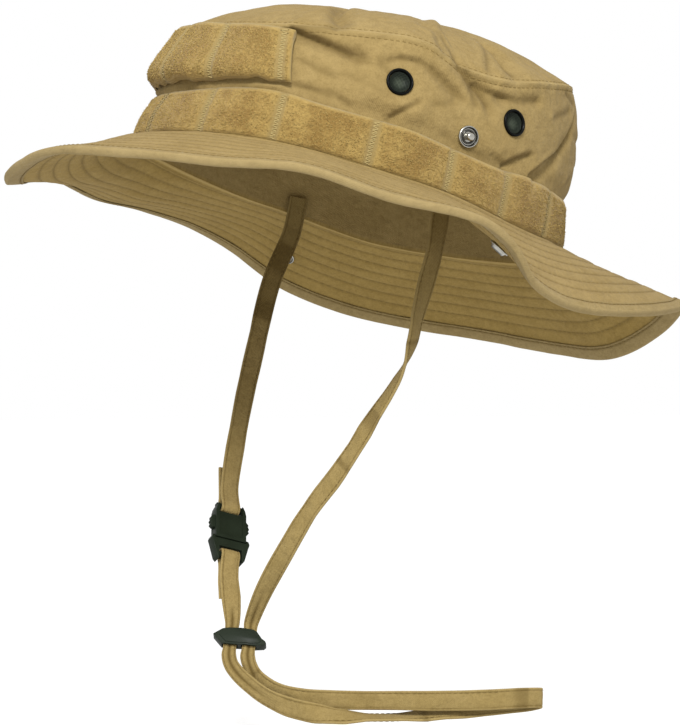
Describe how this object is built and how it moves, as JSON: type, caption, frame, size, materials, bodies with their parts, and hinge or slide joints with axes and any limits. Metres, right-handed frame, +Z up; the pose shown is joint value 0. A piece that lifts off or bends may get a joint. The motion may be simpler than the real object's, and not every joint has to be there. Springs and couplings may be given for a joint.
{
  "type": "bush hat",
  "caption": "Soft cloth bush hat with a wide drooping brim, loop-tape band and front patch, side vents and snaps, and a chin strap with a side-release buckle and slider.",
  "frame": {"origin": "centre of the opening that the head goes into, in the plane where the crown meets the brim", "axes": "+Z up, -Y the front of the hat, +X the wearer's left; the hat is worn tipped back, its front raised about X, and the chin strap hangs below"},
  "size_m": [0.2905, 0.3047, 0.3177],
  "materials": {
    "cloth": "fine ripstop cotton, matt, sandy tan",
    "loop_tape": "short fuzzy loop pile, golden tan",
    "strap_tape": "flat woven tape, matt tan",
    "vent_metal": "black enamel, slightly worn",
    "nickel": "nickel plate, softly polished",
    "dark_plastic": "moulded, dark green-black, satin"
  },
  "bodies": {
    "root": {"crown_wall": "cloth", "crown_top": "cloth", "brim": "cloth", "brim_binding": "cloth", "loop_band": "loop_tape", "front_patch": "loop_tape", "vent_left_front": "vent_metal", "vent_left_back": "vent_metal", "vent_right_front": "vent_metal", "vent_right_back": "vent_metal", "vent_screen_left_front": "dark_plastic", "vent_screen_left_back": "dark_plastic", "vent_screen_right_front": "dark_plastic", "vent_screen_right_back": "dark_plastic", "snap_stud_left": "nickel", "snap_stud_right": "nickel", "snap_socket_left": "nickel", "snap_socket_right": "nickel", "chin_strap": "strap_tape", "buckle_strap": "strap_tape", "buckle_body": "dark_plastic", "buckle_plug": "dark_plastic", "strap_slider": "dark_plastic"}
  },
  "joints": []
}
